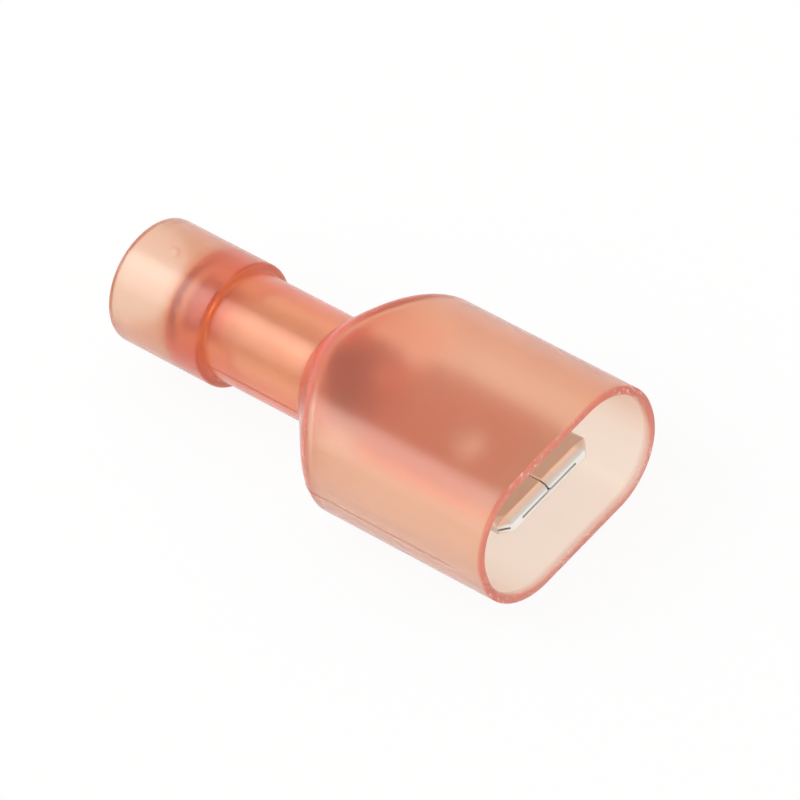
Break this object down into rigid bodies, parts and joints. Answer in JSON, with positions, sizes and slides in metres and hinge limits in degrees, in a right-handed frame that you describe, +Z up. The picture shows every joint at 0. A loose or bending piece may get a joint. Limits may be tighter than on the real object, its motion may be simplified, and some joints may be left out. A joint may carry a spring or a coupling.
{
  "type": "fully insulated male spade terminal",
  "caption": "Crimp-on male spade terminal: a folded tin-plated brass tab and rolled crimp barrel inside a translucent red nylon housing with an open oval hood.",
  "frame": {"origin": "on the table under the middle of the part's box, with the part lying on the flat underside of its hood", "axes": "+X along the terminal, out of the hood's mouth; +Y across the tab; +Z up, square to the tab's faces"},
  "size_m": [0.026, 0.012, 0.007],
  "materials": {
    "nylon": "translucent salmon-red nylon with a satin moulded surface",
    "tinned_brass": "bright tin plate over brass strip"
  },
  "bodies": {
    "root": {"housing": "nylon", "terminal": "tinned_brass"}
  },
  "joints": []
}
